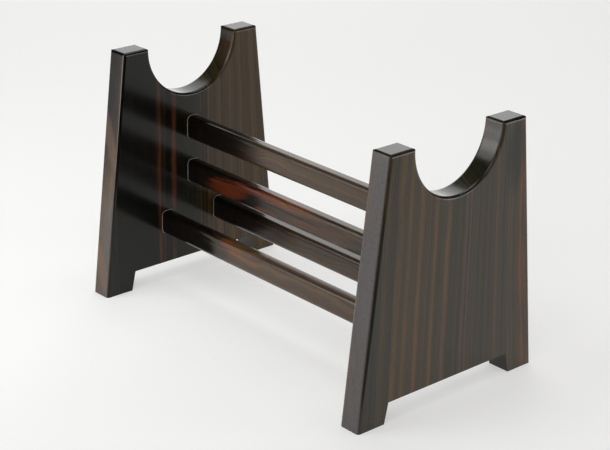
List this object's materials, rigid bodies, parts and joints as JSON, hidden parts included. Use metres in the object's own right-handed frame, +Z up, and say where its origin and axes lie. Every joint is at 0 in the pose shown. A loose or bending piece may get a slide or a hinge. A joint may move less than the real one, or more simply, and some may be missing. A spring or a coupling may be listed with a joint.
{
  "type": "cradle stand",
  "caption": "Low wooden cradle stand: trapezoid end panels with half-round notches and foot arches, joined by slim rails, to hold a round object laid across them.",
  "frame": {"origin": "on the floor, midway between the end panels and midway across them", "axes": "+X along the rails from the left end panel to the right one, +Y from front to rear across the panels, +Z up"},
  "size_m": [0.235, 0.133, 0.15],
  "materials": {
    "panel_ebony": "striped ebony, grain upright, clear gloss lacquer",
    "rail_ebony": "striped ebony, grain along the rail, clear gloss lacquer",
    "dowel_wood": "plain beech, unfinished"
  },
  "bodies": {
    "root": {"left_end_panel": "panel_ebony", "right_end_panel": "panel_ebony", "upper_rail": "rail_ebony", "middle_rail": "rail_ebony", "lower_front_rail": "rail_ebony", "lower_rear_rail": "rail_ebony", "upper_rail_dowels": "dowel_wood", "middle_rail_dowels": "dowel_wood", "lower_front_rail_dowels": "dowel_wood", "lower_rear_rail_dowels": "dowel_wood"}
  },
  "joints": []
}
